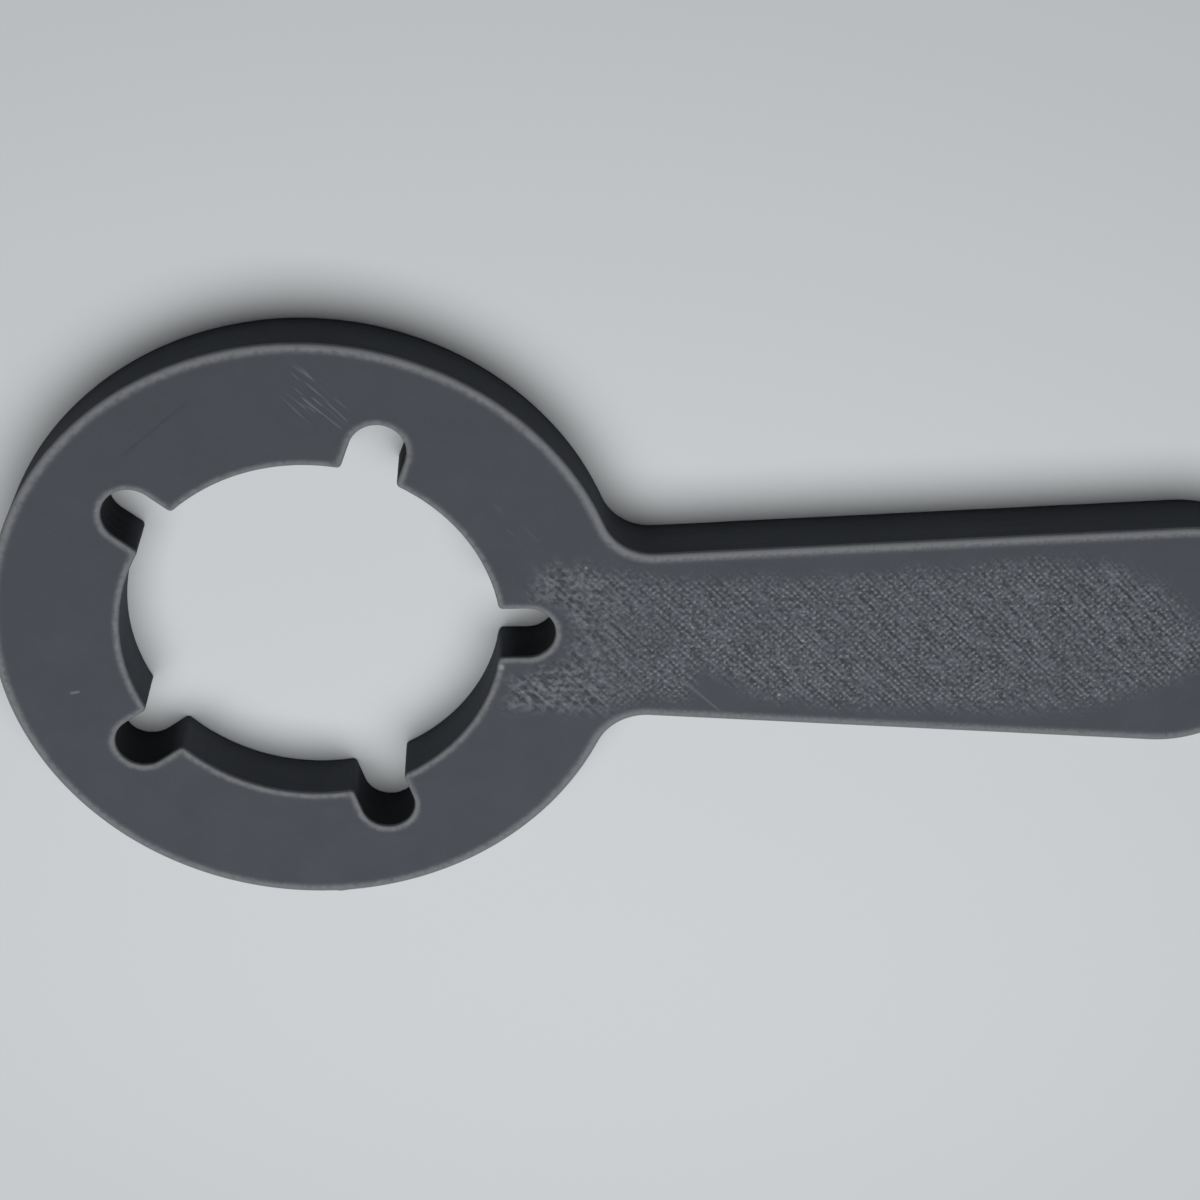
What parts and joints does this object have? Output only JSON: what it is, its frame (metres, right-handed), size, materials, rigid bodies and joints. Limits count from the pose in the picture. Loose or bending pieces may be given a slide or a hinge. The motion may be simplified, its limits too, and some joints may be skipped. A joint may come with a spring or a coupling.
{
  "type": "gas valve key",
  "caption": "Flat plastic key with a slotted ring that drops over a gas valve's ribbed hand wheel, and a flared handle to turn it.",
  "frame": {"origin": "centre of the ring's bore, on the underside that the key lies on", "axes": "+X out along the handle, +Z along the bore's axis and out of the top face"},
  "size_m": [0.104, 0.05, 0.005],
  "materials": {
    "printed_plastic": "dark grey printed plastic, smooth on the ring, with a fine diagonal line pattern along the handle"
  },
  "bodies": {
    "root": {"valve_key": "printed_plastic"}
  },
  "joints": []
}
